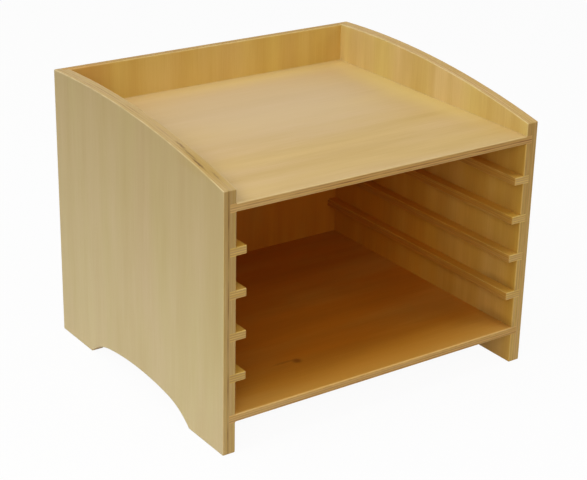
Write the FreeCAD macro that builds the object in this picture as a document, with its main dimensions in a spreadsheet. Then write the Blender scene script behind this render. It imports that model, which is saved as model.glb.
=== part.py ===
import FreeCAD, Part

import math
import os

import Sketcher

# Puzzle storage cabinet in plywood, all lengths in millimetres and the one slope in degrees.
# The origin is the centre of the footprint on the ground. +Z is up, the open front faces -Y, and +X is to
# the right for someone in front of it. Two thick sides carry a floor, a top shelf and pairs of runners in
# grooves that run out at the front. A back panel is let into a rebate of each side and pinned on. Nothing
# moves.

Vector = FreeCAD.Vector

doc = FreeCAD.newDocument("puzzle_cabinet")

# Driving dimensions

DRIVING = {
    # the carcass
    "overall_width": 400.0,
    "overall_depth": 348.0,
    "foot_height": 35.0,
    "front_lip": 14.5,
    "rear_lip": 44.5,
    "top_curve_radius": 1250.0,
    # the boards
    "side_thickness": 15.0,
    "shelf_thickness": 9.0,
    "floor_thickness": 9.0,
    "back_thickness": 9.0,
    # the runners and the slots between them
    "runner_thickness": 9.0,
    "runner_reach": 12.0,
    "slot_height": 36.5,
    # the joints
    "groove_depth": 7.5,
    "rebate_width": 7.5,
    "fit_clearance": 0.1,
    # the arch that leaves two feet under each side
    "front_foot": 66.0,
    "rear_foot": 69.0,
    "arch_height": 24.6,
    "arch_shoulder": 42.5,
    "arch_crown_slope": 8.76,
    # the sanded arrises
    "arris_radius": 1.5,
    "runner_arris_radius": 1.0,
    # the pins that hold the back
    "pin_diameter": 1.6,
    "pin_length": 25.0,
    "pin_head_diameter": 3.0,
    "pin_head_height": 0.8,
    "pin_inset": 60.0,
}

RUNNER_PAIRS = 4

# How far a cut runs past the surface that it opens.
OVERCUT = 5.0

# Where and how large a line or circle is drawn before its dimensions take over.
DRAFT = 10.0

# Places closer than this are the same place.
TOLERANCE = 1e-6

# The most of a board's thickness that one rounded arris may take.
ARRIS_SHARE = 0.45

sheet = doc.addObject("Spreadsheet::Sheet", "Sizes")
for row, (alias, value) in enumerate(DRIVING.items(), start=1):
    sheet.set(f"A{row}", alias.replace("_", " "))
    sheet.set(f"B{row}", str(value))
    sheet.setAlias(f"B{row}", alias)
doc.recompute()

# Relations between the driving dimensions, as the document evaluates them

PITCH = "(Sizes.slot_height + Sizes.runner_thickness)"
FLOOR_TOP = "(Sizes.foot_height + Sizes.floor_thickness)"
FIRST_RUNNER = f"({FLOOR_TOP} + Sizes.slot_height)"
SHELF_UNDERSIDE = f"({FIRST_RUNNER} + {RUNNER_PAIRS} * {PITCH})"
SHELF_TOP = f"({SHELF_UNDERSIDE} + Sizes.shelf_thickness)"
FRONT_HEIGHT = f"({SHELF_TOP} + Sizes.front_lip)"
REAR_HEIGHT = f"({SHELF_TOP} + Sizes.rear_lip)"
INNER_WIDTH = "(Sizes.overall_width - 2 * Sizes.side_thickness)"
BOARD_DEPTH = "(Sizes.overall_depth - Sizes.back_thickness)"
TONGUE = "(Sizes.groove_depth - Sizes.fit_clearance)"
BACK_WIDTH = f"({INNER_WIDTH} + 2 * (Sizes.rebate_width - Sizes.fit_clearance))"

# The arch is a flat crown with a tighter shoulder at each end. They meet at the crown's slope.
CROWN_HALF_CHORD = (
    "((Sizes.overall_depth - Sizes.front_foot - Sizes.rear_foot) / 2 - Sizes.arch_shoulder)"
)
CROWN_RADIUS = f"({CROWN_HALF_CHORD} / sin(Sizes.arch_crown_slope))"
ARCH_SPRING = f"(Sizes.arch_height - {CROWN_HALF_CHORD} * tan(Sizes.arch_crown_slope / 2))"

# Helpers for bodies and sketches


def origin_feature(body, role):
    """The body's own plane or axis with that role, such as XY_Plane."""
    return next(f for f in body.Origin.OriginFeatures if f.Role == role)


def new_body(name, x, y, z):
    """A body whose local origin is at the place that the three expressions give."""
    body = doc.addObject("PartDesign::Body", name)
    body.Label = name
    for axis, place in zip("xyz", (x, y, z)):
        body.setExpression(f"Placement.Base.{axis}", place)
    return body


def new_sketch(body, name, role, offset=None):
    """A sketch on one of the body's own planes, moved along the plane's normal by an expression."""
    sketch = body.newObject("Sketcher::SketchObject", name)
    sketch.AttachmentSupport = [(origin_feature(body, role), "")]
    sketch.MapMode = "FlatFace"
    if offset:
        sketch.setExpression("AttachmentOffset.Base.z", offset)
    return sketch


def drive(sketch, kind, name, places, start, expression):
    """Adds a dimension that starts at a value and is then bound to an expression."""
    index = sketch.addConstraint(Sketcher.Constraint(kind, *places, start))
    sketch.renameConstraint(index, name)
    sketch.setExpression(f"Constraints.{name}", expression)


def add_rectangle(sketch, tag, width, height, left=None, bottom=None, centred=False):
    """A rectangle driven by expressions. Without left or bottom it starts at that axis of the sketch."""
    corners = [(DRAFT, DRAFT), (2 * DRAFT, DRAFT), (2 * DRAFT, 2 * DRAFT), (DRAFT, 2 * DRAFT)]
    first = sketch.GeometryCount
    for a, b in zip(corners, corners[1:] + corners[:1]):
        sketch.addGeometry(Part.LineSegment(Vector(*a, 0), Vector(*b, 0)), False)
    base, right, top, left_edge = range(first, first + 4)
    for a, b in ((base, right), (right, top), (top, left_edge), (left_edge, base)):
        sketch.addConstraint(Sketcher.Constraint("Coincident", a, 2, b, 1))
    for line in (right, left_edge):
        sketch.addConstraint(Sketcher.Constraint("Vertical", line))
    sketch.addConstraint(Sketcher.Constraint("Horizontal", top))
    drive(sketch, "DistanceX", f"{tag}_width", (base, 1, base, 2), DRAFT, width)
    drive(sketch, "DistanceY", f"{tag}_height", (right, 1, right, 2), DRAFT, height)
    if centred:
        sketch.addConstraint(Sketcher.Constraint("Symmetric", base, 1, base, 2, -2))
    else:
        sketch.addConstraint(Sketcher.Constraint("Horizontal", base))
    if left:
        drive(sketch, "DistanceX", f"{tag}_left", (-1, 1, base, 1), DRAFT, left)
    elif not centred:
        sketch.addConstraint(Sketcher.Constraint("PointOnObject", base, 1, -2))
    if bottom:
        drive(sketch, "DistanceY", f"{tag}_bottom", (-1, 1, base, 1), DRAFT, bottom)
    else:
        sketch.addConstraint(Sketcher.Constraint("PointOnObject", base, 1, -1))


def add_circle(sketch, tag, diameter, x, y):
    """A circle driven by expressions, with its centre measured from the sketch's origin."""
    circle = Part.Circle(Vector(DRAFT, DRAFT, 0), Vector(0, 0, 1), DRAFT)
    index = sketch.addGeometry(circle, False)
    drive(sketch, "Diameter", f"{tag}_diameter", (index,), 2 * DRAFT, diameter)
    if x == "0":
        sketch.addConstraint(Sketcher.Constraint("PointOnObject", index, 3, -2))
    else:
        drive(sketch, "DistanceX", f"{tag}_x", (-1, 1, index, 3), DRAFT, x)
    drive(sketch, "DistanceY", f"{tag}_y", (-1, 1, index, 3), DRAFT, y)


def pad(body, sketch, name, length, reverse=False):
    feature = body.newObject("PartDesign::Pad", name)
    feature.Profile = sketch
    feature.setExpression("Length", length)
    feature.Reversed = reverse
    doc.recompute()
    return feature


def pocket(body, sketch, name, depth, reverse=False):
    """A blind pocket. It has to take material away, or the direction is wrong."""
    before = body.Shape.Volume
    feature = body.newObject("PartDesign::Pocket", name)
    feature.Profile = sketch
    feature.setExpression("Length", depth)
    feature.Reversed = reverse
    doc.recompute()
    if not body.Shape.Volume < before:
        raise RuntimeError(f"{name} cuts nothing")
    return feature


def round_arrises(body, base, name, radius, wanted):
    """Rounds the edges of the base feature for which wanted(edge) is true."""
    edges = [f"Edge{i}" for i, edge in enumerate(base.Shape.Edges, start=1) if wanted(edge)]
    feature = body.newObject("PartDesign::Fillet", name)
    feature.Base = (base, edges)
    feature.setExpression("Radius", radius)
    doc.recompute()
    return feature


def limited(radius, *walls):
    """The radius, or less where a wall is thinner than the arrises need."""
    return f"min({radius}; {'; '.join(f'{ARRIS_SHARE} * {wall}' for wall in walls)})"


def same(a, b):
    return abs(a - b) < TOLERANCE


def runs_along(edge, axis):
    """True for a straight edge along the local axis x, y or z."""
    spans = {"x": edge.BoundBox.XLength, "y": edge.BoundBox.YLength, "z": edge.BoundBox.ZLength}
    return all(same(span, 0) != (name == axis) for name, span in spans.items())


def mirrored(source, name):
    """The same piece on the other side of the cabinet."""
    feature = doc.addObject("Part::Mirroring", name)
    feature.Label = name
    feature.Source = source
    feature.Normal = Vector(1, 0, 0)
    doc.recompute()
    return feature


# Where the pins go

PIN_IN_SIDE = "(Sizes.side_thickness - Sizes.rebate_width / 2)"
SIDE_PIN_HEIGHTS = [
    f"({FLOOR_TOP} + Sizes.slot_height / 2 + {slot} * {PITCH})" for slot in range(0, RUNNER_PAIRS + 1, 2)
]
SIDE_PIN_HEIGHTS.append(f"({SHELF_TOP} + Sizes.rear_lip / 2)")
OUTER_PIN = f"({INNER_WIDTH} / 2 - Sizes.pin_inset)"
BOARD_PIN_PLACES = [f"(-{OUTER_PIN})", "0", OUTER_PIN]
SHELF_PIN_HEIGHT = f"({SHELF_UNDERSIDE} + Sizes.shelf_thickness / 2)"
FLOOR_PIN_HEIGHT = "(Sizes.foot_height + Sizes.floor_thickness / 2)"
PIN_HOLE = "(Sizes.pin_diameter + Sizes.fit_clearance)"
PIN_HEAD_SEAT = "(Sizes.pin_head_diameter + Sizes.fit_clearance)"
PIN_GRIP = "(Sizes.pin_length - Sizes.back_thickness + Sizes.fit_clearance)"

# Side panels


def outline_of_side(sketch):
    """The side seen from its inner face: depth along the sketch's x, height along its y."""
    sizes = {alias: sheet.get(alias) for alias in DRIVING}
    depth = sizes["overall_depth"]
    shelf_top = (
        sizes["foot_height"]
        + sizes["floor_thickness"]
        + sizes["slot_height"]
        + RUNNER_PAIRS * (sizes["slot_height"] + sizes["runner_thickness"])
        + sizes["shelf_thickness"]
    )
    front_top = Vector(0, shelf_top + sizes["front_lip"], 0)
    rear_top = Vector(depth, shelf_top + sizes["rear_lip"], 0)
    arch_front = Vector(sizes["front_foot"], 0, 0)
    arch_rear = Vector(depth - sizes["rear_foot"], 0, 0)
    half_chord = (arch_rear.x - arch_front.x) / 2 - sizes["arch_shoulder"]
    slope = math.radians(sizes["arch_crown_slope"])
    crown_radius = half_chord / math.sin(slope)
    spring = sizes["arch_height"] - half_chord * math.tan(slope / 2)
    crown_front = arch_front + Vector(sizes["arch_shoulder"], spring, 0)
    crown_rear = arch_rear + Vector(-sizes["arch_shoulder"], spring, 0)
    crown_centre = Vector(
        (crown_front.x + crown_rear.x) / 2, sizes["arch_height"] - crown_radius, 0
    )

    def arc(start, end, centre):
        """The arc from start to end, anticlockwise about the centre."""
        angles = [math.atan2(p.y - centre.y, p.x - centre.x) for p in (start, end)]
        circle = Part.Circle(centre, Vector(0, 0, 1), (start - centre).Length)
        return Part.ArcOfCircle(circle, *angles)

    def shoulder_centre(joint, foot):
        """The centre of the arc that leaves the crown smoothly at the joint and ends at the foot."""
        inwards = (crown_centre - joint).normalize()
        chord = foot - joint
        radius = chord.Length**2 / (2 * chord.dot(inwards))
        return joint + inwards * radius

    def chord_centre(start, end, radius):
        """The centre below the chord of an arc with that radius."""
        middle = (start + end) * 0.5
        chord = end - start
        reach = math.sqrt(radius**2 - (chord.Length / 2) ** 2)
        return middle + Vector(-chord.y, chord.x, 0).normalize() * reach

    pieces = [
        Part.LineSegment(Vector(0, 0, 0), arch_front),
        arc(crown_front, arch_front, shoulder_centre(crown_front, arch_front)),
        arc(crown_rear, crown_front, crown_centre),
        arc(arch_rear, crown_rear, shoulder_centre(crown_rear, arch_rear)),
        Part.LineSegment(arch_rear, Vector(depth, 0, 0)),
        Part.LineSegment(Vector(depth, 0, 0), rear_top),
        arc(rear_top, front_top, chord_centre(rear_top, front_top, sizes["top_curve_radius"])),
        Part.LineSegment(front_top, Vector(0, 0, 0)),
    ]
    sketch.addGeometry(pieces, False)
    foot_f, shoulder_f, crown, shoulder_r, foot_r, rear, top, front = range(len(pieces))
    joints = [
        ("Coincident", foot_f, 2, shoulder_f, 2),
        ("Tangent", shoulder_f, 1, crown, 2),
        ("Tangent", crown, 1, shoulder_r, 2),
        ("Coincident", shoulder_r, 1, foot_r, 1),
        ("Coincident", foot_r, 2, rear, 1),
        ("Coincident", rear, 2, top, 1),
        ("Coincident", top, 2, front, 1),
        ("Coincident", front, 2, foot_f, 1),
        ("Coincident", foot_f, 1, -1, 1),
        ("PointOnObject", foot_r, 2, -1),
        ("Horizontal", foot_f),
        ("Horizontal", foot_r),
        ("Vertical", rear),
        ("Vertical", front),
    ]
    for joint in joints:
        sketch.addConstraint(Sketcher.Constraint(*joint))

    def drive_by_size(kind, name, places, alias):
        drive(sketch, kind, name, places, sizes[alias], f"Sizes.{alias}")

    drive_by_size("DistanceX", "front_foot", (foot_f, 1, foot_f, 2), "front_foot")
    drive_by_size("DistanceX", "rear_foot", (foot_r, 1, foot_r, 2), "rear_foot")
    drive_by_size("DistanceX", "depth", (-1, 1, foot_r, 2), "overall_depth")
    drive_by_size("Radius", "top_radius", (top,), "top_curve_radius")
    drive_by_size("DistanceX", "shoulder_front", (foot_f, 2, crown, 2), "arch_shoulder")
    drive_by_size("DistanceX", "shoulder_rear", (crown, 1, foot_r, 1), "arch_shoulder")
    drive(sketch, "DistanceY", "rear_height", (rear, 1, rear, 2), rear_top.y, REAR_HEIGHT)
    drive(sketch, "DistanceY", "front_height", (front, 2, front, 1), front_top.y, FRONT_HEIGHT)
    drive(sketch, "DistanceY", "spring_front", (foot_f, 2, crown, 2), spring, ARCH_SPRING)
    drive(sketch, "DistanceY", "spring_rear", (foot_r, 1, crown, 1), spring, ARCH_SPRING)
    drive(sketch, "Radius", "crown_radius", (crown,), crown_radius, CROWN_RADIUS)
    corners = [Vector(0, 0, 0), arch_front, arch_rear, Vector(depth, 0, 0), rear_top, front_top]
    return corners


def make_left_side():
    """Local x runs from the outer face to the inner face, y from the front edge to the rear edge."""
    body = new_body("left_side", "-Sizes.overall_width / 2", "-Sizes.overall_depth / 2", "0")
    outline = new_sketch(body, "side_outline", "YZ_Plane")
    corners = outline_of_side(outline)
    panel = pad(body, outline, "side_panel", "Sizes.side_thickness")

    def is_arris(edge):
        """The rims of both faces, and the edges across the thickness where the outline has a corner."""
        if same(edge.BoundBox.XLength, 0):
            return True
        place = edge.Vertexes[0].Point
        return any(same(place.y, c.x) and same(place.z, c.y) for c in corners)

    radius = limited("Sizes.arris_radius", "Sizes.side_thickness")
    round_arrises(body, panel, "side_arrises", radius, is_arris)

    board_grooves = new_sketch(body, "board_groove_outlines", "YZ_Plane", "Sizes.side_thickness")
    for tag, bottom, thickness in (
        ("floor", "Sizes.foot_height", "Sizes.floor_thickness"),
        ("shelf", SHELF_UNDERSIDE, "Sizes.shelf_thickness"),
    ):
        height = f"({thickness} + Sizes.fit_clearance)"
        add_rectangle(board_grooves, tag, BOARD_DEPTH, height, bottom=bottom)
    pocket(body, board_grooves, "board_grooves", "Sizes.groove_depth")

    runner_groove = new_sketch(body, "runner_groove_outline", "YZ_Plane", "Sizes.side_thickness")
    height = "(Sizes.runner_thickness + Sizes.fit_clearance)"
    add_rectangle(runner_groove, "runner", BOARD_DEPTH, height, bottom=FIRST_RUNNER)
    groove = pocket(body, runner_groove, "runner_groove", "Sizes.groove_depth")
    pattern = body.newObject("PartDesign::LinearPattern", "runner_grooves")
    pattern.Originals = [groove]
    pattern.Direction = (origin_feature(body, "Z_Axis"), [""])
    pattern.Mode = "Extent"
    pattern.setExpression("Length", f"{RUNNER_PAIRS - 1} * {PITCH}")
    pattern.Occurrences = RUNNER_PAIRS
    body.Tip = pattern
    doc.recompute()

    rebate = new_sketch(body, "rebate_outline", "YZ_Plane", "Sizes.side_thickness")
    width = f"(Sizes.back_thickness + {OVERCUT})"
    height = f"({REAR_HEIGHT} - Sizes.foot_height + {OVERCUT})"
    add_rectangle(rebate, "rebate", width, height, left=BOARD_DEPTH, bottom="Sizes.foot_height")
    pocket(body, rebate, "rebate", "Sizes.rebate_width")

    pin_holes = new_sketch(body, "side_pin_holes_outline", "XZ_Plane", f"-{BOARD_DEPTH}")
    for number, height in enumerate(SIDE_PIN_HEIGHTS, start=1):
        add_circle(pin_holes, f"pin_{number}", PIN_HOLE, PIN_IN_SIDE, height)
    pocket(body, pin_holes, "side_pin_holes", PIN_GRIP, reverse=True)
    return body


# Top shelf and floor


def make_board(name, underside, thickness):
    """A board between the sides: its ends are tongues that fill the grooves as far as the front edge."""
    body = new_body(name, "0", "-Sizes.overall_depth / 2", underside)
    outline = new_sketch(body, f"{name}_outline", "XY_Plane")
    add_rectangle(outline, "board", INNER_WIDTH, BOARD_DEPTH, centred=True)
    board = pad(body, outline, f"{name}_board", thickness)

    def is_front_arris(edge):
        return runs_along(edge, "x") and same(edge.Vertexes[0].Y, 0)

    radius = limited("Sizes.arris_radius", thickness)
    round_arrises(body, board, f"{name}_arrises", radius, is_front_arris)

    end = new_sketch(body, f"{name}_end_outline", "YZ_Plane", f"{INNER_WIDTH} / 2")
    add_rectangle(end, "end", BOARD_DEPTH, thickness)
    tongue = pad(body, end, f"{name}_tongue", TONGUE)
    other_end = body.newObject("PartDesign::Mirrored", f"{name}_tongues")
    other_end.Originals = [tongue]
    other_end.MirrorPlane = (origin_feature(body, "YZ_Plane"), [""])
    body.Tip = other_end
    doc.recompute()

    pin_holes = new_sketch(body, f"{name}_pin_holes_outline", "XZ_Plane", f"-{BOARD_DEPTH}")
    for number, place in enumerate(BOARD_PIN_PLACES, start=1):
        add_circle(pin_holes, f"pin_{number}", PIN_HOLE, place, f"{thickness} / 2")
    pocket(body, pin_holes, f"{name}_pin_holes", PIN_GRIP, reverse=True)
    return body


# Runners


def make_left_runner(number):
    """A strip whose tongue fills its groove; local x = 0 is the inner face of the side."""
    name = f"left_runner_{number}"
    height = f"{FIRST_RUNNER} + {number - 1} * {PITCH}"
    body = new_body(name, f"-{INNER_WIDTH} / 2", "-Sizes.overall_depth / 2", height)
    outline = new_sketch(body, f"{name}_outline", "XY_Plane")
    add_rectangle(outline, "strip", "Sizes.runner_reach", BOARD_DEPTH)
    strip = pad(body, outline, f"{name}_strip", "Sizes.runner_thickness")
    free_side = strip.Shape.BoundBox.XMax

    def is_free_arris(edge):
        """The edges of the front end and of the long free side, not those at the side panel or the back."""
        middle = edge.BoundBox.Center
        along_free_side = runs_along(edge, "y") and same(middle.x, free_side)
        along_front = runs_along(edge, "x") and same(middle.y, 0)
        upright = runs_along(edge, "z") and same(middle.x, free_side) and same(middle.y, 0)
        return along_free_side or along_front or upright

    radius = limited("Sizes.runner_arris_radius", "Sizes.runner_thickness", "Sizes.runner_reach")
    round_arrises(body, strip, f"{name}_arrises", radius, is_free_arris)

    end = new_sketch(body, f"{name}_tongue_outline", "YZ_Plane")
    add_rectangle(end, "tongue", BOARD_DEPTH, "Sizes.runner_thickness")
    pad(body, end, f"{name}_tongue", TONGUE, reverse=True)
    return body


# Back panel


def back_pin_places():
    """Every pin as (tag, x, height above the ground)."""
    across = f"({INNER_WIDTH} / 2 + Sizes.rebate_width / 2)"
    places = []
    for number, height in enumerate(SIDE_PIN_HEIGHTS, start=1):
        places.append((f"left_{number}", f"(-{across})", height))
        places.append((f"right_{number}", across, height))
    for number, place in enumerate(BOARD_PIN_PLACES, start=1):
        places.append((f"shelf_{number}", place, SHELF_PIN_HEIGHT))
        places.append((f"floor_{number}", place, FLOOR_PIN_HEIGHT))
    return places


def make_back_panel():
    """Local y = 0 is the rear face, and the panel reaches towards the front from there."""
    body = new_body("back_panel", "0", "Sizes.overall_depth / 2", "Sizes.foot_height")
    outline = new_sketch(body, "back_outline", "XZ_Plane")
    height = f"({REAR_HEIGHT} - Sizes.foot_height)"
    add_rectangle(outline, "back", BACK_WIDTH, height, centred=True)
    panel = pad(body, outline, "back_board", "Sizes.back_thickness")
    top = panel.Shape.BoundBox.ZMax

    def is_free_arris(edge):
        """Both long arrises of the top edge, and the rear one of the bottom edge."""
        middle = edge.BoundBox.Center
        at_top = same(middle.z, top)
        at_rear_foot = same(middle.z, 0) and same(middle.y, 0)
        return runs_along(edge, "x") and (at_top or at_rear_foot)

    radius = limited("Sizes.arris_radius", "Sizes.back_thickness")
    round_arrises(body, panel, "back_arrises", radius, is_free_arris)

    for name, diameter, depth in (
        ("back_pin_holes", PIN_HOLE, "Sizes.back_thickness"),
        ("back_pin_seats", PIN_HEAD_SEAT, "Sizes.pin_head_height"),
    ):
        circles = new_sketch(body, f"{name}_outline", "XZ_Plane")
        for tag, x, height in back_pin_places():
            add_circle(circles, tag, diameter, x, f"({height} - Sizes.foot_height)")
        pocket(body, circles, name, depth, reverse=True)
    return body


def make_back_pins():
    """Flat-headed panel pins, driven forwards until their heads are flush with the rear face."""
    driven_forwards = FreeCAD.Rotation(Vector(1, 0, 0), 90)
    pins = []
    for tag, x, height in back_pin_places():
        solids = []
        for piece, diameter, length in (
            ("shank", "Sizes.pin_diameter", "Sizes.pin_length"),
            ("head", "Sizes.pin_head_diameter", "Sizes.pin_head_height"),
        ):
            solid = doc.addObject("Part::Cylinder", f"pin_{tag}_{piece}")
            solid.setExpression("Radius", f"{diameter} / 2")
            solid.setExpression("Height", length)
            solid.Placement.Rotation = driven_forwards
            solid.setExpression("Placement.Base.x", x)
            solid.setExpression("Placement.Base.y", "Sizes.overall_depth / 2")
            solid.setExpression("Placement.Base.z", height)
            solids.append(solid)
        pin = doc.addObject("Part::Fuse", f"pin_{tag}")
        pin.Base, pin.Tool = solids
        pins.append(pin)
    group = doc.addObject("Part::Compound", "back_pins")
    group.Label = "back_pins"
    group.Links = pins
    doc.recompute()
    return group


# Assembly

left_side = make_left_side()
left_runners = [make_left_runner(number) for number in range(1, RUNNER_PAIRS + 1)]
subparts = [
    left_side,
    mirrored(left_side, "right_side"),
    make_board("floor_panel", "Sizes.foot_height", "Sizes.floor_thickness"),
    make_board("top_shelf", SHELF_UNDERSIDE, "Sizes.shelf_thickness"),
    *left_runners,
    *[mirrored(runner, runner.Label.replace("left", "right")) for runner in left_runners],
    make_back_panel(),
    make_back_pins(),
]
doc.recompute()

# Every object has to be sound before anything is written

for item in doc.Objects:
    if "Invalid" in item.State or "Error" in item.State:
        raise RuntimeError(f"{item.Label} failed: {item.State}")

solid_counts = {subpart.Label: 1 for subpart in subparts}
solid_counts["back_pins"] = len(back_pin_places())

os.makedirs("parts", exist_ok=True)
for subpart in subparts:
    shape = subpart.Shape
    if shape.isNull() or not shape.isValid():
        raise RuntimeError(f"{subpart.Label} has no valid shape")
    if len(shape.Solids) != solid_counts[subpart.Label]:
        raise RuntimeError(f"{subpart.Label} has {len(shape.Solids)} solids")
    box = shape.BoundBox
    print(
        f"{subpart.Label}: x {box.XMin:.2f} to {box.XMax:.2f}, y {box.YMin:.2f} to {box.YMax:.2f},"
        f" z {box.ZMin:.2f} to {box.ZMax:.2f}, {shape.Volume / 1000:.2f} cm3"
    )
for subpart in subparts:
    subpart.Shape.exportStep(f"parts/{subpart.Label}.step")
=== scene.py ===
import math
from collections import namedtuple

import bpy
from mathutils import Matrix, Vector


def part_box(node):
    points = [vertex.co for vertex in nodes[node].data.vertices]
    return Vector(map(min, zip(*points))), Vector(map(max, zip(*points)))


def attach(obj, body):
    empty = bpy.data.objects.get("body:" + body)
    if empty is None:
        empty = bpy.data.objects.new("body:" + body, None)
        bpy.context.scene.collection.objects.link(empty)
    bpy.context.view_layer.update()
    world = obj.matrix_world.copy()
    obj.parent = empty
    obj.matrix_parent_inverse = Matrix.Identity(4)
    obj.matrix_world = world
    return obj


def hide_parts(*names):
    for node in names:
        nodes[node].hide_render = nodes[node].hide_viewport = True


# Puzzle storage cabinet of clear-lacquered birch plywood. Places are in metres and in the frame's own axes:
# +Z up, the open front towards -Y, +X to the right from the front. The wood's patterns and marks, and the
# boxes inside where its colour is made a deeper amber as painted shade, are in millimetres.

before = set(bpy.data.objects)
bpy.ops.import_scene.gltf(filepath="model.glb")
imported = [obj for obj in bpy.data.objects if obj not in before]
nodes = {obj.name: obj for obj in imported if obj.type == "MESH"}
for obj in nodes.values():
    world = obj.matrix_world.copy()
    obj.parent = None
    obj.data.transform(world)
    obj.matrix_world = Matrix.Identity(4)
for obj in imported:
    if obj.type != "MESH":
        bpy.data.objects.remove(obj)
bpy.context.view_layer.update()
MM = 0.001


# Side panels
# Two panels sawn from 15 mm birch plywood of nine rotary-cut plies, with the face grain upright. The outline
# is routed, every arris is rounded by sanding, and the panel is sprayed twice with clear satin lacquer.

SIDE_THICKNESS = 15.0
ARRIS = 1.5


def linear(code):
    """The linear colour of an sRGB hex code."""
    levels = [int(code[start:start + 2], 16) / 255 for start in (1, 3, 5)]
    return tuple(
        level / 12.92 if level <= 0.04045 else ((level + 0.055) / 1.055) ** 2.4 for level in levels) + (1.0,)


def add_node(tree, kind, *values, inputs=None, **settings):
    """Adds a node. Its sockets take plain values, other sockets, or nodes, which give their first output."""
    node = tree.nodes.new(kind)
    for name, setting in settings.items():
        setattr(node, name, setting)
    sockets = [socket for socket in node.inputs if socket.enabled]
    pairs = list(zip(sockets, values))
    pairs += [(node.inputs[name], value) for name, value in (inputs or {}).items()]
    for socket, value in pairs:
        if isinstance(value, bpy.types.Node):
            value = next(output for output in value.outputs if output.enabled)
        if isinstance(value, bpy.types.NodeSocket):
            tree.links.new(value, socket)
        else:
            socket.default_value = value
    return node


# A sheet as a piece is sawn from it: the axis of its face fibres, the axis through it, where its first face
# lies on that axis, which way its plies are counted from there, its thickness, and for each ply how much
# darker the wood is where the saw has cut its fibres across
Sheet = namedtuple("Sheet", "grain through face inwards thickness ply_shades")
# A place on a piece in millimetres, its coordinates, those of the normal there, and, each from 0 to 1, how
# far it is on a face of the sheet, how far on an edge, and how far it looks up
Surface = namedtuple("Surface", "place axes normal face_on edge_on upward")
# The same place in the sheet: its depth below the first face, its level counted in plies, its place along,
# beside and through the fibres of its ply, and from 0 to 1 how squarely they are cut there
Plies = namedtuple("Plies", "depth level fibres end_grain")

PLY_UNEVENNESS, UNEVENNESS_LENGTH = 0.5, 45.0
PLY_SHIFT = (131.7, 57.3)
PIECE_SHIFT = (977.0, 313.0)


def lay_plies(tree, surface, sheet, seed):
    """Lays the plies of a sheet, every second one turned by a right angle, and each of different wood."""
    count = len(sheet.ply_shades)
    across = ({"X", "Y", "Z"} - {sheet.grain, sheet.through}).pop()
    axes, normal = surface.axes, surface.normal
    depth = add_node(
        tree, "ShaderNodeMath", axes[sheet.through], sheet.inwards, -sheet.face * sheet.inwards,
        operation="MULTIPLY_ADD")

    # Plies are never quite even: their borders wander by a tenth of a millimetre or so, but inside the sheet
    wander = add_node(
        tree, "ShaderNodeTexNoise", surface.place, inputs={"Scale": 1 / UNEVENNESS_LENGTH, "Detail": 2.0})
    wander = add_node(tree, "ShaderNodeMath", wander, 0.5, operation="SUBTRACT")
    level = add_node(tree, "ShaderNodeMath", wander, PLY_UNEVENNESS, depth, operation="MULTIPLY_ADD")
    level = add_node(tree, "ShaderNodeMath", level, sheet.thickness / count, operation="DIVIDE")
    level = add_node(tree, "ShaderNodeClamp", level, 0.001, count - 0.001)
    number = add_node(tree, "ShaderNodeMath", level, operation="FLOOR")

    crossed = add_node(tree, "ShaderNodeMath", number, 2.0, operation="MODULO")
    along = add_node(tree, "ShaderNodeMix", crossed, axes[sheet.grain], axes[across])
    beside = add_node(tree, "ShaderNodeMix", crossed, axes[across], axes[sheet.grain])
    end_grain = add_node(tree, "ShaderNodeMix", crossed, normal[sheet.grain], normal[across])
    end_grain = add_node(tree, "ShaderNodeMath", end_grain, end_grain, operation="MULTIPLY")

    along = add_node(tree, "ShaderNodeMath", number, PLY_SHIFT[0], along, operation="MULTIPLY_ADD")
    beside = add_node(tree, "ShaderNodeMath", number, PLY_SHIFT[1], beside, operation="MULTIPLY_ADD")
    shift = (seed * PIECE_SHIFT[0], seed * PIECE_SHIFT[1], 0.0)
    fibres = add_node(tree, "ShaderNodeCombineXYZ", along, beside, depth)
    fibres = add_node(tree, "ShaderNodeVectorMath", fibres, shift, operation="ADD")
    return Plies(depth, level, fibres, end_grain)


# How long each figure of the wood is along the fibres, how wide beside them and how deep through them. The
# bundles and the vessels are finer in the real wood: here they are as fine as the picture can show.
SAPWOOD_BANDS = (300.0, 28.0, 8.0)
BLUSH = (260.0, 60.0, 20.0)
GROWTH_WAVES = (330.0, 52.0, 10.0)
FIBRE_BUNDLES = (60.0, 1.5, 0.6)
VESSELS = (7.0, 0.9, 0.5)
# How many radians of growth rings lie in the whole range of a wave. It lays them about 37 mm apart beside
# the fibres, because the knife has cut them at a low angle.
RING_ANGLE = 34.0
RING_SHARE, VESSEL_SHARE = 0.05, 0.2
MEAN_SHADE = 0.3
BLUSH_CONTRAST = 4.0


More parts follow.
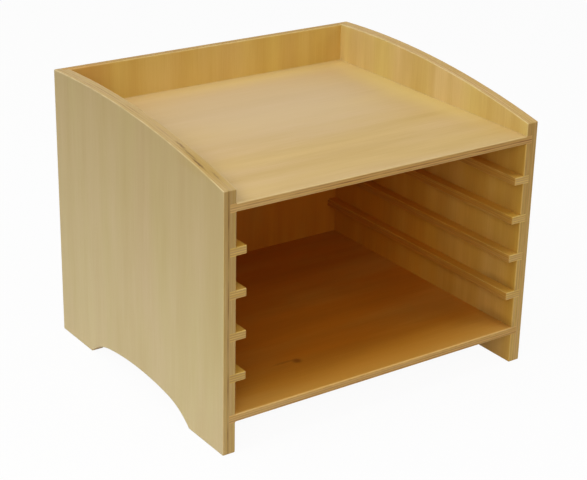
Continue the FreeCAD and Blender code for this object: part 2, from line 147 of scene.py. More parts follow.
def birch_figure(tree, fibres, tones, figure):
    """The figure of rotary-cut birch: its colour, its blush, its bundles of fibres and its vessels."""
    bands = add_node(tree, "ShaderNodeVectorMath", fibres, SAPWOOD_BANDS, operation="DIVIDE")
    bands = add_node(
        tree, "ShaderNodeTexNoise", bands, inputs={"Scale": 1.0, "Detail": 3.0, "Distortion": 0.4})
    # The slow change from rosy to yellow wood
    blush = add_node(tree, "ShaderNodeVectorMath", fibres, BLUSH, operation="DIVIDE")
    blush = add_node(tree, "ShaderNodeTexNoise", blush, inputs={"Scale": 1.0, "Detail": 2.0})
    # The growth rings, as the peeling knife has cut them
    rings = add_node(tree, "ShaderNodeVectorMath", fibres, GROWTH_WAVES, operation="DIVIDE")
    rings = add_node(tree, "ShaderNodeTexNoise", rings, inputs={"Scale": 1.0, "Detail": 1.5})
    rings = add_node(tree, "ShaderNodeMath", rings, RING_ANGLE, operation="MULTIPLY")
    rings = add_node(tree, "ShaderNodeMath", rings, operation="SINE")
    bundles = add_node(tree, "ShaderNodeVectorMath", fibres, FIBRE_BUNDLES, operation="DIVIDE")
    bundles = add_node(
        tree, "ShaderNodeTexNoise", bundles, inputs={"Scale": 1.0, "Detail": 4.0, "Roughness": 0.6})
    # The vessels, short dark dashes
    vessels = add_node(tree, "ShaderNodeVectorMath", fibres, VESSELS, operation="DIVIDE")
    vessels = add_node(tree, "ShaderNodeTexNoise", vessels, inputs={"Scale": 1.0, "Detail": 2.0})
    vessels = add_node(
        tree, "ShaderNodeMapRange", vessels, 0.62, 0.74, 0.0, 1.0, interpolation_type="SMOOTHSTEP")

    # How dark the wood is, from 0 at the palest sapwood to 1
    shade = add_node(tree, "ShaderNodeMapRange", bands, 0.3, 0.7, -0.2, 0.4)
    shade = add_node(tree, "ShaderNodeMath", rings, RING_SHARE, shade, operation="MULTIPLY_ADD")
    bundle_shade = add_node(tree, "ShaderNodeMapRange", bundles, 0.3, 0.7, -0.15, 0.15)
    shade = add_node(tree, "ShaderNodeMath", shade, bundle_shade, operation="ADD")
    shade = add_node(tree, "ShaderNodeMath", vessels, VESSEL_SHARE, shade, operation="MULTIPLY_ADD")
    shade = add_node(
        tree, "ShaderNodeMath", shade, figure, MEAN_SHADE, operation="MULTIPLY_ADD", use_clamp=True)
    yellow = add_node(tree, "ShaderNodeMath", blush, 0.5, operation="SUBTRACT")
    yellow = add_node(
        tree, "ShaderNodeMath", yellow, BLUSH_CONTRAST * figure, 0.5, operation="MULTIPLY_ADD",
        use_clamp=True)
    colour = add_node(tree, "ShaderNodeMix", yellow, tones["rosy"], tones["yellow"], data_type="RGBA")
    colour = add_node(tree, "ShaderNodeMix", shade, colour, tones["deep"], data_type="RGBA")
    return colour, blush, bundles, vessels


# Places where the saw has torn the cut ends of the fibres more, and dirt has settled
TORN_PLACES = (30.0, 30.0, 3.0)
GLUE_LINE = 0.15
GLUE_STRENGTH = 0.25


def saw_edges(tree, colour, surface, plies, sheet, tones):
    """Colours the sawn edges, and gives their glue lines too."""
    # They are browner than the faces where the saw has run along the fibres
    sawn = add_node(tree, "ShaderNodeMath", 1.0, plies.end_grain, operation="SUBTRACT")
    sawn = add_node(tree, "ShaderNodeMath", sawn, surface.edge_on, operation="MULTIPLY")
    colour = add_node(
        tree, "ShaderNodeMix", sawn, colour, tones["sawn"], data_type="RGBA", blend_type="MULTIPLY")

    # They are darker where it has cut the fibres across, which draws the stripes, and unevenly so
    count = len(sheet.ply_shades)
    ply_shade = add_node(tree, "ShaderNodeMath", plies.level, count, operation="DIVIDE")
    ply_shade = add_node(tree, "ShaderNodeValToRGB", ply_shade)
    ply_shade.color_ramp.interpolation = "CONSTANT"
    stops = ply_shade.color_ramp.elements
    stops.remove(stops[1])
    stops[0].color = (sheet.ply_shades[0],) * 3 + (1.0,)
    for index in range(1, count):
        stops.new(index / count).color = (sheet.ply_shades[index],) * 3 + (1.0,)
    torn = add_node(tree, "ShaderNodeVectorMath", plies.fibres, TORN_PLACES, operation="DIVIDE")
    torn = add_node(tree, "ShaderNodeTexNoise", torn, inputs={"Scale": 1.0, "Detail": 3.0})
    torn = add_node(tree, "ShaderNodeMapRange", torn, 0.35, 0.65, 0.6, 1.4)
    ends = add_node(tree, "ShaderNodeMath", plies.end_grain, ply_shade, operation="MULTIPLY")
    ends = add_node(tree, "ShaderNodeMath", ends, torn, operation="MULTIPLY")
    colour = add_node(tree, "ShaderNodeMix", ends, colour, tones["ends"], data_type="RGBA")

    # Glue lines between the plies, which show on the edges only
    border = add_node(tree, "ShaderNodeMath", plies.level, operation="FRACT")
    border = add_node(tree, "ShaderNodeMath", border, 0.5, operation="SUBTRACT")
    border = add_node(tree, "ShaderNodeMath", border, operation="ABSOLUTE")
    line_start = 0.5 - GLUE_LINE / (sheet.thickness / count)
    border = add_node(tree, "ShaderNodeMapRange", border, line_start, 0.5, 0.0, 1.0)
    glue = add_node(tree, "ShaderNodeMath", border, surface.edge_on, operation="MULTIPLY")
    glue_share = add_node(tree, "ShaderNodeMath", glue, GLUE_STRENGTH, operation="MULTIPLY")
    colour = add_node(tree, "ShaderNodeMix", glue_share, colour, tones["glue"], data_type="RGBA")
    return colour, glue


left_box, right_box, floor_box, shelf_box, back_box = (
    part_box(name) for name in ("left_side", "right_side", "floor_panel", "top_shelf", "back_panel"))
TOP = left_box[1].z / MM
RUBBED_HIGHLIGHT_SPOT = 14.0


def wear(tree, colour, surface, plies, tones):
    """Darkens a side towards its top, which is painted shade, pales the arrises, and gives where they are
    pale.
    """
    # Painted shade: the outer face and the upright edges of a side are darker the higher they are
    if "painted_top_shade" in tones:
        outermost = add_node(tree, "ShaderNodeMapRange", plies.depth, 0.3, 1.2, 1.0, 0.0)
        upright = add_node(tree, "ShaderNodeMath", surface.edge_on, surface.upward, operation="SUBTRACT")
        outer_face_or_upright_edge = add_node(tree, "ShaderNodeMath", outermost, upright, operation="MAXIMUM")
        painted_top_shade = add_node(tree, "ShaderNodeMapRange", surface.axes["Z"], 0.0, TOP, 0.0, 1.0)
        painted_top_shade = add_node(tree, "ShaderNodeMath", painted_top_shade, outer_face_or_upright_edge, operation="MULTIPLY")
        colour = add_node(
            tree, "ShaderNodeMix", painted_top_shade, colour, tones["painted_top_shade"], data_type="RGBA", blend_type="MULTIPLY")

    # Arrises are pale, unevenly: partly worn pale by the sanding and by years of hands, and partly a painted
    # highlight, which is strongest on those that face up
    arris = add_node(tree, "ShaderNodeMath", 1.0, surface.face_on, operation="SUBTRACT")
    arris = add_node(tree, "ShaderNodeMath", arris, surface.face_on, operation="MULTIPLY")
    rubbing_and_highlight = add_node(
        tree, "ShaderNodeTexNoise", surface.place, inputs={"Scale": 1 / RUBBED_HIGHLIGHT_SPOT, "Detail": 3.0})
    rubbing_and_highlight = add_node(tree, "ShaderNodeMapRange", rubbing_and_highlight, 0.35, 0.65, 1.4, 3.2)
    stronger_facing_up = add_node(tree, "ShaderNodeMath", surface.upward, 0.75, 0.25, operation="MULTIPLY_ADD")
    rubbing_and_highlight = add_node(tree, "ShaderNodeMath", rubbing_and_highlight, stronger_facing_up, operation="MULTIPLY")
    rubbed_and_highlight = add_node(tree, "ShaderNodeMath", arris, rubbing_and_highlight, operation="MULTIPLY", use_clamp=True)
    colour = add_node(tree, "ShaderNodeMix", rubbed_and_highlight, colour, tones["rubbed_and_highlight"], data_type="RGBA")
    return colour, rubbed_and_highlight


RAGGEDNESS, RAGGED_SPOT = 2.5, 5.0


def add_marks(tree, colour, place, tones, marks):
    """Adds the marks, which are strongest in the middle and have a soft and ragged border."""
    ragged = add_node(tree, "ShaderNodeTexNoise", place, inputs={"Scale": 1 / RAGGED_SPOT, "Detail": 2.0})
    ragged = add_node(
        tree, "ShaderNodeVectorMath", ragged.outputs["Color"], (0.5, 0.5, 0.5), operation="SUBTRACT")
    ragged = add_node(
        tree, "ShaderNodeVectorMath", ragged, (RAGGEDNESS,) * 3, place, operation="MULTIPLY_ADD")
    for tone, centre, half_lengths, strength in marks:
        reach = add_node(tree, "ShaderNodeVectorMath", ragged, centre, operation="SUBTRACT")
        reach = add_node(tree, "ShaderNodeVectorMath", reach, half_lengths, operation="DIVIDE")
        reach = add_node(tree, "ShaderNodeVectorMath", reach, operation="LENGTH").outputs["Value"]
        mark = add_node(
            tree, "ShaderNodeMapRange", reach, 0.2, 1.0, strength, 0.0, interpolation_type="SMOOTHSTEP")
        colour = add_node(tree, "ShaderNodeMix", mark, colour, tones[tone], data_type="RGBA")
    return colour


# The places inside the cabinet, as boxes between the faces of its pieces. There the wood is multiplied by
# a deeper amber, which is painted shade, most of all at the back of the cavity, while outside it keeps its
# pale colour. The cavity starts a little behind the front edges, which take a quarter of its amber.
INSIDE_LEFT, INSIDE_RIGHT = left_box[1].x / MM, right_box[0].x / MM
FRONT, INSIDE_BACK, REAR = left_box[0].y / MM, back_box[0].y / MM, left_box[1].y / MM
FLOOR_TOP, SHELF_TOP = floor_box[1].z / MM, shelf_box[1].z / MM
CAVITY_SETBACK = 0.8
SHELTERED = {
    "cavity": (
        (INSIDE_LEFT, FRONT + CAVITY_SETBACK, FLOOR_TOP), (INSIDE_RIGHT, INSIDE_BACK, shelf_box[0].z / MM)),
    "tray": ((INSIDE_LEFT, FRONT, SHELF_TOP + ARRIS), (INSIDE_RIGHT, INSIDE_BACK, TOP)),
    "underneath": ((INSIDE_LEFT, FRONT, -ARRIS), (INSIDE_RIGHT, REAR, floor_box[0].z / MM)),
}
# Amounts of amber: at the opening and the back of the cavity, in the tray and underneath it is painted
# shade; on the edges it is partly their own tone, and the top edges take less, which is painted light
AMBER_AT_OPENING, AMBER_AT_BACK = 0.45, 1.0
AMBER_IN_TRAY = 0.14
AMBER_UNDERNEATH = 0.5
AMBER_ON_EDGES, AMBER_ON_TOP_EDGES = 0.23, 0.138
AMBER_SHADES = (
    (0.0, "#FFFFFF"), (0.25, "#FEEFC4"), (0.5, "#FDDF94"), (0.75, "#FCCD6C"), (1.0, "#FAB646"))


def amber_and_painted_shade(tree, colour, surface, blush, rubbed_and_highlight, amber_depth):
    """Multiplies amber in: in each sheltered box it is painted shade of its own amount, and on the edges it
    is partly their own browner tone and partly painted light, as those that face up take less.
    """
    cavity_amber = add_node(
        tree, "ShaderNodeMapRange", surface.axes["Y"], FRONT, FRONT + amber_depth, AMBER_AT_OPENING,
        AMBER_AT_BACK)
    amber_and_shade = add_node(
        tree, "ShaderNodeMapRange", surface.upward, 0.0, 1.0, AMBER_ON_EDGES, AMBER_ON_TOP_EDGES)
    amber_and_shade = add_node(tree, "ShaderNodeMath", amber_and_shade, surface.edge_on, operation="MULTIPLY")
    for box, amount in (("cavity", cavity_amber), ("tray", AMBER_IN_TRAY), ("underneath", AMBER_UNDERNEATH)):
        low, high = (Vector(corner) for corner in SHELTERED[box])
        beyond = add_node(
            tree, "ShaderNodeVectorMath", surface.place, (low + high) / 2, operation="SUBTRACT")
        beyond = add_node(tree, "ShaderNodeVectorMath", beyond, operation="ABSOLUTE")
        beyond = add_node(tree, "ShaderNodeVectorMath", beyond, (high - low) / 2, operation="SUBTRACT")
        sides = add_node(tree, "ShaderNodeSeparateXYZ", beyond).outputs
        outside = add_node(tree, "ShaderNodeMath", sides["X"], sides["Y"], operation="MAXIMUM")
        outside = add_node(tree, "ShaderNodeMath", outside, sides["Z"], operation="MAXIMUM")
        # It takes in the faces of the box and is gone 1 mm outside it
        inside = add_node(tree, "ShaderNodeMapRange", outside, 0.2, 1.0, 1.0, 0.0)
        inside = add_node(tree, "ShaderNodeMath", inside, amount, operation="MULTIPLY")
        amber_and_shade = add_node(tree, "ShaderNodeMath", amber_and_shade, inside, operation="MAXIMUM")
    uneven = add_node(tree, "ShaderNodeMapRange", blush, 0.35, 0.65, 0.8, 1.1)
    amber_and_shade = add_node(tree, "ShaderNodeMath", amber_and_shade, uneven, operation="MULTIPLY")
    # Less amber on the pale arrises, so that their wear and painted highlight stay bright
    off_rubbed_highlight = add_node(tree, "ShaderNodeMath", rubbed_and_highlight, -0.6, 1.0, operation="MULTIPLY_ADD")
    amber_and_shade = add_node(tree, "ShaderNodeMath", amber_and_shade, off_rubbed_highlight, operation="MULTIPLY")

    amber = add_node(tree, "ShaderNodeValToRGB", amber_and_shade)
    stops = amber.color_ramp.elements
    stops[0].color, stops[1].color = linear(AMBER_SHADES[0][1]), linear(AMBER_SHADES[-1][1])
    for position, code in AMBER_SHADES[1:-1]:
        stops.new(position).color = linear(code)
    return add_node(tree, "ShaderNodeMix", 1.0, colour, amber, data_type="RGBA", blend_type="MULTIPLY")


FIBRE_RELIEF = 0.04 * MM


def plywood(name, sheet, tones, seed, figure, amber_depth, marks=()):
    """Birch plywood, sanded and sprayed with clear satin lacquer.

    To the eye that is a pale face with faint streaks and a soft sheen, and duller edges with brown stripes.
    It is worked out through the whole sheet, so that faces, edges and arrises all agree. figure is the
    strength of the pattern on the faces, and amber_depth is how far behind the opening the painted shade of
    the cavity reaches its deepest. Each mark has its tone, its centre, its half lengths along the three axes
    and its strength.
    """
    tones = {tone: linear(code) for tone, code in tones.items()}
    material = bpy.data.materials.new(name)
    material.use_nodes = True
    tree = material.node_tree
    tree.nodes.clear()
    texture = add_node(tree, "ShaderNodeTexCoord").outputs
    place = add_node(tree, "ShaderNodeVectorMath", texture["Object"], (1 / MM,) * 3, operation="MULTIPLY")
    axes = add_node(tree, "ShaderNodeSeparateXYZ", place).outputs
    normal = add_node(tree, "ShaderNodeSeparateXYZ", texture["Normal"]).outputs
    through = normal[sheet.through]
    face_on = add_node(tree, "ShaderNodeMath", through, through, operation="MULTIPLY")
    edge_on = add_node(tree, "ShaderNodeMapRange", face_on, 0.5, 0.1, 0.0, 1.0)
    upward = add_node(tree, "ShaderNodeMapRange", normal["Z"], 0.0, 0.5, 0.0, 1.0)
    surface = Surface(place, axes, normal, face_on, edge_on, upward)

    plies = lay_plies(tree, surface, sheet, seed)
    colour, blush, bundles, vessels = birch_figure(tree, plies.fibres, tones, figure)
    colour, glue = saw_edges(tree, colour, surface, plies, sheet, tones)
    colour, rubbed_and_highlight = wear(tree, colour, surface, plies, tones)
    if marks:
        colour = add_marks(tree, colour, place, tones, marks)
    colour = amber_and_painted_shade(tree, colour, surface, blush, rubbed_and_highlight, amber_depth)

    # The lacquer is thin: it has sunk into the cut ends, and the fibres can still be felt
    roughness = add_node(tree, "ShaderNodeMapRange", bundles, 0.2, 0.8, 0.44, 0.56)
    roughness = add_node(tree, "ShaderNodeMath", plies.end_grain, 0.14, roughness, operation="MULTIPLY_ADD")
    relief = add_node(tree, "ShaderNodeMath", vessels, -0.6, bundles, operation="MULTIPLY_ADD")
    relief = add_node(tree, "ShaderNodeMath", glue, -0.9, relief, operation="MULTIPLY_ADD")
    bump = add_node(
        tree, "ShaderNodeBump", inputs={"Height": relief, "Distance": FIBRE_RELIEF, "Strength": 1.0})
    shader = add_node(tree, "ShaderNodeBsdfPrincipled", inputs={
        "Base Color": colour, "Roughness": roughness, "Normal": bump, "IOR": 1.5,
        "Specular IOR Level": 0.32})
    add_node(tree, "ShaderNodeOutputMaterial", shader)
    return material


# The side tones include the darker tone of the painted shade towards the top of a side
side_tones = {"ends": "#7A5424", "glue": "#6E4E2C", "rubbed_and_highlight": "#DDC998", "painted_top_shade": "#DCD4C1"}
left_tones = side_tones | {
    "rosy": "#D8C399", "yellow": "#D2C38C", "deep": "#C3AA71", "sawn": "#ECE0D5", "gap": "#5C3614",
    "stained": "#AA8924"}
right_tones = side_tones | {
    "rosy": "#D9C18C", "yellow": "#D5C280", "deep": "#C6AA68", "sawn": "#FAEAE8", "painted_corner_shade": "#6A3E08"}
# A stain at the front of the left side's top edge, and four gaps in the inner plies there
left_marks = (
    ("stained", (-192.5, -130.0, 296.0), (12.0, 80.0, 16.0), 0.5),
    ("gap", (-191.8, -82.0, 303.6), (1.9, 14.0, 5.0), 0.6),
    ("gap", (-193.5, -102.0, 300.3), (1.8, 22.0, 6.0), 0.5),
    ("gap", (-195.3, -121.0, 297.0), (1.9, 18.0, 6.0), 0.7),
    ("gap", (-191.5, -146.0, 291.7), (1.6, 14.0, 5.0), 0.4),
)
# Painted shade by the opening in the right side's joints with the floor and the lowest runner
LOWEST_RUNNER_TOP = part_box("right_runner_1")[1].z / MM
right_marks = (
    ("painted_corner_shade", (INSIDE_RIGHT, FRONT + 24.0, FLOOR_TOP), (6.0, 50.0, 14.0), 0.28),
    ("painted_corner_shade", (INSIDE_RIGHT, FRONT + 24.0, LOWEST_RUNNER_TOP), (6.0, 50.0, 10.0), 0.3),
)
left_ply_shades = (0.3, 0.2, 0.4, 0.55, 0.35, 0.2, 0.25, 0.15, 0.1)
right_ply_shades = (0.15, 0.2, 0.2, 0.25, 0.25, 0.25, 0.25, 0.25, 0.3)
left_sheet = Sheet("Z", "X", left_box[0].x / MM, 1.0, SIDE_THICKNESS, left_ply_shades)
right_sheet = Sheet("Z", "X", right_box[1].x / MM, -1.0, SIDE_THICKNESS, right_ply_shades)
for node_name, sheet, tones, seed, figure, marks in (
    ("left_side", left_sheet, left_tones, 79.0, 0.6, left_marks),
    ("right_side", right_sheet, right_tones, 156.0, 1.4, right_marks),
):
    nodes[node_name].material_slots[0].material = plywood(
        f"lacquered_birch_ply_{node_name}", sheet, tones, seed, figure, amber_depth=250.0, marks=marks)


# Floor and top shelf
# Two boards of 9 mm birch plywood with seven plies and the face grain from side to side. Each is slid into a
# groove of both sides and glued there.

BOARD_THICKNESS = 9.0

board_tones = {"deep": "#BE9F62", "glue": "#6E4E2C", "rubbed_and_highlight": "#DAC48A"}
floor_tones = board_tones | {
    "rosy": "#D4B27E", "yellow": "#D0B06C", "ends": "#98703A", "sawn": "#FCF4F4", "painted_light": "#E6C07C",
    "painted_corner_shade": "#6A3E08", "pale": "#D7C19B", "knot": "#6E4522"}
shelf_tones = board_tones | {
    "rosy": "#D1B27E", "yellow": "#D3B474", "deep": "#C2A05C", "ends": "#855E2A", "sawn": "#F0E4E2",
    "pale": "#D7C19B", "painted_light": "#D2B890", "painted_bounce_light": "#DAC17A"}
# The front strip of the floor is lighter, which is painted light, its right corner has painted shade, the
# left end of its front edge is paler, and a knot with a dark streak beside it shows near the front
floor_marks = (
    ("painted_light", (0.0, FRONT, FLOOR_TOP), (400.0, 60.0, 3.5), 0.8),
    ("painted_corner_shade", (INSIDE_RIGHT + 2.0, FRONT + 24.0, FLOOR_TOP), (14.0, 50.0, 6.0), 0.28),
    ("pale", (INSIDE_LEFT + 10.0, FRONT, FLOOR_TOP - 6.0), (130.0, 4.0, 9.0), 0.22),
    ("knot", (-66.0, FRONT + 63.0, FLOOR_TOP), (8.0, 7.0, 6.0), 0.6),
    ("knot", (-80.0, FRONT + 67.0, FLOOR_TOP), (20.0, 3.0, 6.0), 0.3),
)
# The left end of the shelf's front edge is paler, the middle of the shelf has a pale painted sheen, and a
# golden painted glow of light bounced from the lips runs along its right end and along the back
shelf_marks = (
    ("pale", (INSIDE_LEFT + 10.0, FRONT, SHELF_TOP - 5.5), (130.0, 4.0, 9.0), 0.27),
    ("painted_light", (0.0, 70.0, SHELF_TOP), (260.0, 170.0, 10.0), 0.7),
    ("painted_bounce_light", (INSIDE_RIGHT + 7.0, 20.0, SHELF_TOP), (60.0, 230.0, 10.0), 0.9),
    ("painted_bounce_light", (60.0, INSIDE_BACK, SHELF_TOP), (280.0, 45.0, 10.0), 0.5),
)
for node_name, ply_shades, tones, seed, marks in (
    ("floor_panel", (0.0, 0.5, 0.0, 0.35, 0.0, 0.6, 0.0), floor_tones, 299.0, floor_marks),
    ("top_shelf", (0.1, 0.45, 0.1, 0.7, 0.1, 0.5, 0.2), shelf_tones, 407.0, shelf_marks),
):
    sheet = Sheet("X", "Z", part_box(node_name)[1].z / MM, -1.0, BOARD_THICKNESS, ply_shades)
    nodes[node_name].material_slots[0].material = plywood(
        f"lacquered_birch_ply_{node_name}", sheet, tones, seed, figure=1.0, amber_depth=80.0, marks=marks)


# Runners
# Eight strips ripped along the grain from the same 9 mm plywood, with eased arrises. They are glued into the
# grooves of the sides in four pairs, stand 12 mm proud and carry the puzzle boards.

runner_tones = board_tones | {
    "rosy": "#E3CB8B", "yellow": "#E0CB79", "ends": "#A27B42", "glue": "#A27B42", "rubbed_and_highlight": "#E3CB84"}
# The left runners' ends are darker than the right ones', by deeper ply shades and a darker sawn tone:
# painted shade
left_runner_shades = (0.3, 0.4, 0.35, 0.4, 0.35, 0.4, 0.3)
right_runner_shades = (0.1, 0.4, 0.2, 0.4, 0.2, 0.4, 0.1)
for side, first_seed, sawn, ply_shades in (
    ("left", 15.0, "#D3C6CF", left_runner_shades),
    ("right", 16.0, "#DECED8", right_runner_shades),
):
    tones = runner_tones | {"sawn": sawn}
    for number in range(4):
        node_name = f"{side}_runner_{number + 1}"
        sheet = Sheet("Y", "Z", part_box(node_name)[1].z / MM, -1.0, BOARD_THICKNESS, ply_shades)
        nodes[node_name].material_slots[0].material = plywood(
            f"lacquered_birch_ply_{node_name}", sheet, tones, seed=first_seed + 2.0 * number, figure=0.6,
            amber_depth=200.0)


# Back panel
# A board of the same 9 mm plywood with upright face grain. It lies in a rebate of each side, flush at the
# top with their rear corners, and is glued and pinned to the sides, the shelf and the floor.

back_tones = board_tones | {
    "rosy": "#D7B872", "yellow": "#D8BD6C", "deep": "#C69E50", "ends": "#7A5424", "sawn": "#DED2CA",
    "brown": "#C68C3C"}
back_ply_shades = (0.4, 0.6, 0.4, 0.6, 0.4, 0.6, 0.4)
back_sheet = Sheet("Z", "Y", back_box[1].y / MM, -1.0, BOARD_THICKNESS, back_ply_shades)
# A browner band in the veneer by the left side
back_marks = (("brown", (INSIDE_LEFT - 1.0, INSIDE_BACK, 290.0), (80.0, 6.0, 200.0), 0.5),)
nodes["back_panel"].material_slots[0].material = plywood(
    "lacquered_birch_ply_back", back_sheet, back_tones, seed=453.0, figure=0.9, amber_depth=230.0,
    marks=back_marks)


# Back pins
# Fourteen round panel pins of bright drawn steel wire, 25 mm long, driven through the back panel into the
# sides, the shelf and the floor until their heads are flush.

PIN_SIZES = {
    "Shank Radius": 0.8 * MM, "Head Radius": 1.5 * MM, "Rim Radius": 1.35 * MM, "Head Height": 0.8 * MM,
    "Length": 25.0 * MM, "Point Length": 1.8 * MM, "Tip Radius": 0.1 * MM}
PIN_SIDES = 20
REBATE = 7.5 * MM
PIN_SPACING = 125.0 * MM

# Down each side a pin goes in midway between two runners, or between a runner and a board, clear of their
# grooves, and the topmost one goes into the lip
runner_1, runner_2, runner_3, runner_4 = (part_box(f"left_runner_{number}") for number in (1, 2, 3, 4))
pin_line = right_box[0].x + REBATE / 2
pin_heights = [
    (lower[1].z + upper[0].z) / 2
    for lower, upper in ((floor_box, runner_1), (runner_2, runner_3), (runner_4, shelf_box))]
pin_heights.append((shelf_box[1].z + back_box[1].z) / 2)
pin_places = [(side * pin_line, back_box[1].y, height) for height in pin_heights for side in (-1, 1)]
pin_places += [
    (step * PIN_SPACING, back_box[1].y, (box[0].z + box[1].z) / 2)
    for box in (floor_box, shelf_box) for step in (-1, 0, 1)]

# Bright drawn wire: a metal glint, dulled by the die's fine lines along the shank and by spots of tarnish.
# The lines are finer in the real wire, and drawn this coarse so that they show.
TARNISH_SPOT = 1.5 * MM
DIE_LINE = 0.3 * MM
steel = bpy.data.materials.new("bright_drawn_steel_wire")
steel.use_nodes = True
tree = steel.node_tree
tree.nodes.clear()
place = add_node(tree, "ShaderNodeTexCoord").outputs["Object"]
tarnish = add_node(tree, "ShaderNodeTexNoise", place, inputs={"Scale": 1 / TARNISH_SPOT, "Detail": 3.0})
steel_colour = add_node(
    tree, "ShaderNodeMix", tarnish, linear("#C4C1BA"), linear("#8E8980"), data_type="RGBA")
lines = add_node(tree, "ShaderNodeVectorMath", place, (1.0, 0.05, 1.0), operation="MULTIPLY")
lines = add_node(tree, "ShaderNodeTexNoise", lines, inputs={"Scale": 1 / DIE_LINE, "Detail": 2.0})
steel_roughness = add_node(tree, "ShaderNodeMapRange", tarnish, 0.3, 0.7, 0.25, 0.45)
steel_bump = add_node(
    tree, "ShaderNodeBump", inputs={"Height": lines, "Distance": 0.03 * MM, "Strength": 1.0})
shader = add_node(tree, "ShaderNodeBsdfPrincipled", inputs={
    "Base Color": steel_colour, "Metallic": 1.0, "Roughness": steel_roughness, "Normal": steel_bump})
add_node(tree, "ShaderNodeOutputMaterial", shader)

# A pin hangs below the origin by its head: three cones, for the head, the shank and the point
pin_tree = bpy.data.node_groups.new("panel_pins", "GeometryNodeTree")
pin_tree.interface.new_socket("Places", in_out="INPUT", socket_type="NodeSocketGeometry")
for label in PIN_SIZES:
    pin_tree.interface.new_socket(label, in_out="INPUT", socket_type="NodeSocketFloat")
pin_tree.interface.new_socket("Pins", in_out="OUTPUT", socket_type="NodeSocketGeometry")
given = add_node(pin_tree, "NodeGroupInput").outputs
shank_bottom = add_node(
    pin_tree, "ShaderNodeMath", given["Length"], given["Point Length"], operation="SUBTRACT")
shank_length = add_node(
    pin_tree, "ShaderNodeMath", shank_bottom, given["Head Height"], operation="SUBTRACT")
parts = add_node(pin_tree, "GeometryNodeJoinGeometry")
for top_radius, bottom_radius, length, bottom in (
    (given["Rim Radius"], given["Head Radius"], given["Head Height"], given["Head Height"]),
    (given["Shank Radius"], given["Shank Radius"], shank_length, shank_bottom),
    (given["Shank Radius"], given["Tip Radius"], given["Point Length"], given["Length"]),
):
    cone = add_node(pin_tree, "GeometryNodeMeshCone", inputs={
        "Vertices": PIN_SIDES, "Radius Top": top_radius, "Radius Bottom": bottom_radius, "Depth": length})
    below = add_node(pin_tree, "ShaderNodeMath", bottom, -1.0, operation="MULTIPLY")
    below = add_node(pin_tree, "ShaderNodeCombineXYZ", 0.0, 0.0, below)
    moved = add_node(pin_tree, "GeometryNodeTransform", inputs={"Geometry": cone, "Translation": below})
    pin_tree.links.new(moved.outputs[0], parts.inputs[0])
points = add_node(pin_tree, "GeometryNodeMeshToPoints", given["Places"])
pins = add_node(pin_tree, "GeometryNodeInstanceOnPoints", inputs={
    "Points": points, "Instance": parts, "Rotation": (math.radians(-90), 0.0, 0.0)})
pins = add_node(pin_tree, "GeometryNodeRealizeInstances", pins)
pins = add_node(pin_tree, "GeometryNodeSetMaterial", inputs={"Geometry": pins, "Material": steel})
add_node(pin_tree, "NodeGroupOutput", pins)

place_mesh = bpy.data.meshes.new("pin_places")
place_mesh.from_pydata(pin_places, [], [])
pin_maker = bpy.data.objects.new("pin_maker", place_mesh)
bpy.context.scene.collection.objects.link(pin_maker)
modifier = pin_maker.modifiers.new("pins", "NODES")
modifier.node_group = pin_tree
for item in pin_tree.interface.items_tree:
    if item.in_out == "INPUT" and item.name in PIN_SIZES:
        modifier[item.identifier] = PIN_SIZES[item.name]
pin_mesh = bpy.data.meshes.new_from_object(
    pin_maker.evaluated_get(bpy.context.evaluated_depsgraph_get()))
bpy.data.objects.remove(pin_maker)
back_pins = bpy.data.objects.new("steel_back_pins", pin_mesh)
bpy.context.scene.collection.objects.link(back_pins)
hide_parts("back_pins")
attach(back_pins, "root")


# Studio
# The cabinet stands on a sheet of white paper in a plain white room. Six large soft lamps light it from
# above, from the left, from the front and a little from behind.

WHITE = linear("#FFFFFF")
FLOOR_SIZE = 8.0
FLOOR_GLOW_SHARE = 0.95
ROOM_LIGHT = 0.15


def background_share(tree):
    """1 for the rays that show the white studio: from the camera, in a gloss or through something clear."""
    rays = add_node(tree, "ShaderNodeLightPath").outputs
    camera, glossy, clear = rays["Is Camera Ray"], rays["Is Glossy Ray"], rays["Is Transmission Ray"]
    share = add_node(tree, "ShaderNodeMath", camera, glossy, operation="MAXIMUM")
    return add_node(tree, "ShaderNodeMath", share, clear, operation="MAXIMUM")


# Matt paper: no gloss, and white but for the cabinet's faint shadow
floor_paper = bpy.data.materials.new("white_paper")
floor_paper.use_nodes = True
tree = floor_paper.node_tree
tree.nodes.clear()
paper = add_node(tree, "ShaderNodeBsdfDiffuse", linear("#EDEDED"))
glow = add_node(tree, "ShaderNodeEmission", WHITE, 1.0)
share = add_node(tree, "ShaderNodeMath", background_share(tree), FLOOR_GLOW_SHARE, operation="MULTIPLY")
mixed = add_node(tree, "ShaderNodeMixShader", share, paper, glow)
add_node(tree, "ShaderNodeOutputMaterial", mixed)

half = FLOOR_SIZE / 2
floor_corners = [(-half, -half, 0), (half, -half, 0), (half, half, 0), (-half, half, 0)]
floor_mesh = bpy.data.meshes.new("studio_floor")
floor_mesh.from_pydata(floor_corners, [], [(0, 1, 2, 3)])
floor_mesh.materials.append(floor_paper)
studio_floor = bpy.data.objects.new("studio_floor", floor_mesh)
bpy.context.scene.collection.objects.link(studio_floor)

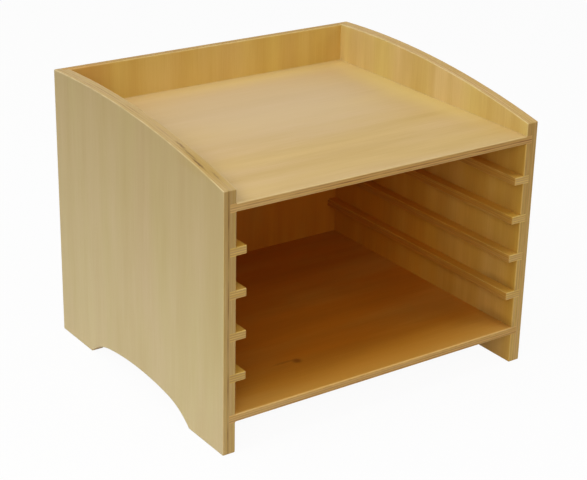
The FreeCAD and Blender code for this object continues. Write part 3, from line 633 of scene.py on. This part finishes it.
world = bpy.data.worlds.new("studio_room")
bpy.context.scene.world = world
world.use_nodes = True
tree = world.node_tree
tree.nodes.clear()
room = add_node(tree, "ShaderNodeBackground", WHITE, ROOM_LIGHT)
backdrop = add_node(tree, "ShaderNodeBackground", WHITE, 1.0)
mixed = add_node(tree, "ShaderNodeMixShader", background_share(tree), room, backdrop)
add_node(tree, "ShaderNodeOutputWorld", mixed)

CABINET_MIDDLE = Vector((0.0, 0.0, 0.15))
for lamp_name, place, size, watts in (
    ("overhead", (0.0, 0.0, 1.9), 1.6, 11.3),
    ("high_left", (-2.4, 0.0, 2.6), 1.6, 41.0),
    ("front_left", (-1.6, -1.6, 1.3), 1.2, 16.4),
    ("front_right", (1.6, -1.6, 1.3), 1.2, 9.2),
    ("low_front", (-0.6, -2.6, 0.9), 1.2, 4.0),
    ("rear", (-0.8, 2.8, 0.9), 1.2, 9.0),
):
    lamp = bpy.data.lights.new(lamp_name, "AREA")
    lamp.shape = "SQUARE"
    lamp.size = size
    lamp.energy = watts
    lamp_object = bpy.data.objects.new(lamp_name, lamp)
    lamp_object.location = place
    lamp_object.rotation_euler = (CABINET_MIDDLE - Vector(place)).to_track_quat("-Z", "Y").to_euler()
    bpy.context.scene.collection.objects.link(lamp_object)


# Camera
# It stands 1.8 m away, to the left of the open front and half a metre above the top, so that the cabinet's
# corners fall where the photograph has them. Its long lens keeps the uprights nearly parallel.

IMAGE_WIDTH_PX = 587
FOCAL_LENGTH_PX = 1574.37
SENSOR_WIDTH = 36.0
CAMERA_PLACE = Vector((-0.94144, -1.33789, 0.81863))
azimuth, elevation, roll = (math.radians(angle) for angle in (-35.26, 22.82, 1.269))

camera = bpy.data.cameras.new("camera")
camera.sensor_width = SENSOR_WIDTH
camera.sensor_fit = "HORIZONTAL"
camera.lens = FOCAL_LENGTH_PX * SENSOR_WIDTH / IMAGE_WIDTH_PX
camera_object = bpy.data.objects.new("camera", camera)
camera_object.matrix_world = (
    Matrix.Translation(CAMERA_PLACE)
    @ Matrix.Rotation(azimuth, 4, "Z")
    @ Matrix.Rotation(math.radians(90) - elevation, 4, "X")
    @ Matrix.Rotation(roll, 4, "Z")
)
bpy.context.scene.collection.objects.link(camera_object)
bpy.context.scene.camera = camera_object
bpy.context.scene.view_settings.view_transform = "Standard"
